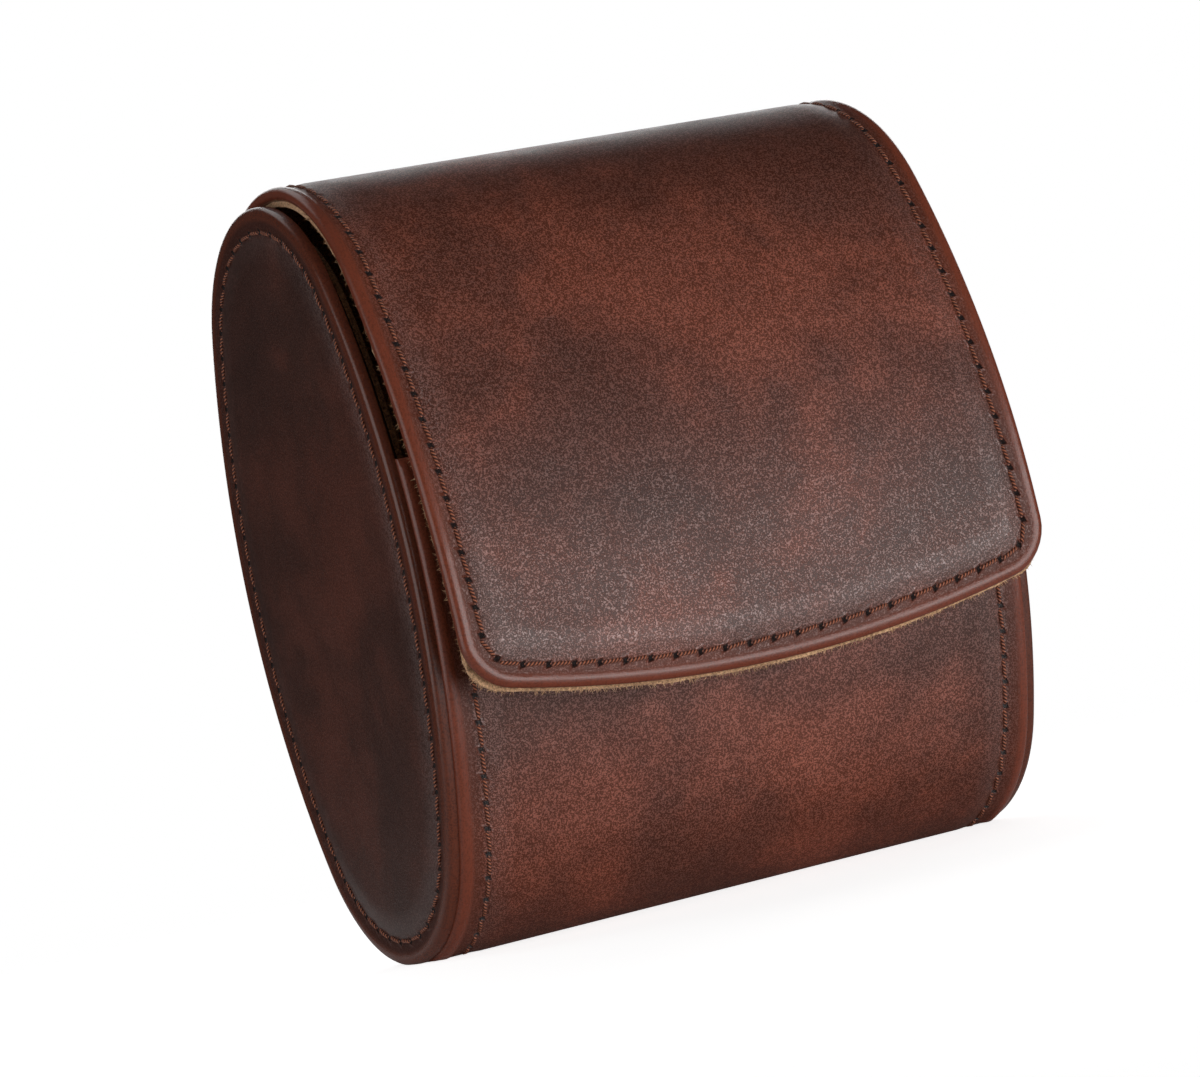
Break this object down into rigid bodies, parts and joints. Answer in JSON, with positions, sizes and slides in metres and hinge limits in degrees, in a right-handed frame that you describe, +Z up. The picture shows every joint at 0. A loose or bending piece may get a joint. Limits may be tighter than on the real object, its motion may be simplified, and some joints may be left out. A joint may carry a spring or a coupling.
{
  "type": "watch roll case",
  "caption": "Oval leather watch roll case standing on its narrow edge, with a curved front flap, a hidden magnetic closure and a lift-out cushion.",
  "frame": {"origin": "bottom centre of the bounding box", "axes": "+X along the tube, -Y the front where the flap comes down, +Z up along the long axis of the oval section"},
  "size_m": [0.086, 0.0646, 0.1005],
  "materials": {
    "brown_leather": "pull-up leather, fine grain, satin",
    "panel_leather": "pull-up leather, fine grain, satin",
    "khaki_suede": "brushed suede",
    "grey_board": "pressed fibre board, matt",
    "steel_disc": "zinc plated",
    "magnet_disc": "nickel plated",
    "foam": "open cell foam"
  },
  "bodies": {
    "case": {"wrap_leather": "brown_leather", "wrap_core": "grey_board", "wrap_lining": "khaki_suede", "panel_leather_left": "panel_leather", "panel_leather_right": "panel_leather", "panel_core_left": "grey_board", "panel_core_right": "grey_board", "panel_lining_left": "khaki_suede", "panel_lining_right": "khaki_suede", "closure_keeper": "steel_disc"},
    "flap_top": {"flap_top_leather": "brown_leather", "flap_top_lining": "khaki_suede"},
    "flap_front": {"flap_front_leather": "brown_leather", "flap_front_lining": "khaki_suede", "flap_stiffener": "grey_board", "closure_magnet": "magnet_disc"},
    "pillow": {"pillow_foam": "foam", "pillow_cover": "khaki_suede", "pillow_end_left": "khaki_suede", "pillow_end_right": "khaki_suede"}
  },
  "joints": [
    {"name": "flap_open", "type": "hinge", "parent": "case", "child": "flap_top", "pos_m": [0, 0.02348, 0.08758], "axis": [-1, 0, 0], "range_deg": [0, 170]},
    {"name": "flap_flex", "type": "hinge", "parent": "flap_top", "child": "flap_front", "pos_m": [0, -0.02751, 0.07116], "axis": [-1, 0, 0], "range_deg": [0, 60], "stiffness_Nm_per_rad": 0.02},
    {"name": "pillow_lift", "type": "slide", "parent": "case", "child": "pillow", "axis": [0, 0, 1], "range_m": [0, 0.0855]}
  ],
  "couplings": [
    {"joint": "pillow_lift", "follows": "flap_open", "m_per_rad": 0.0287}
  ]
}
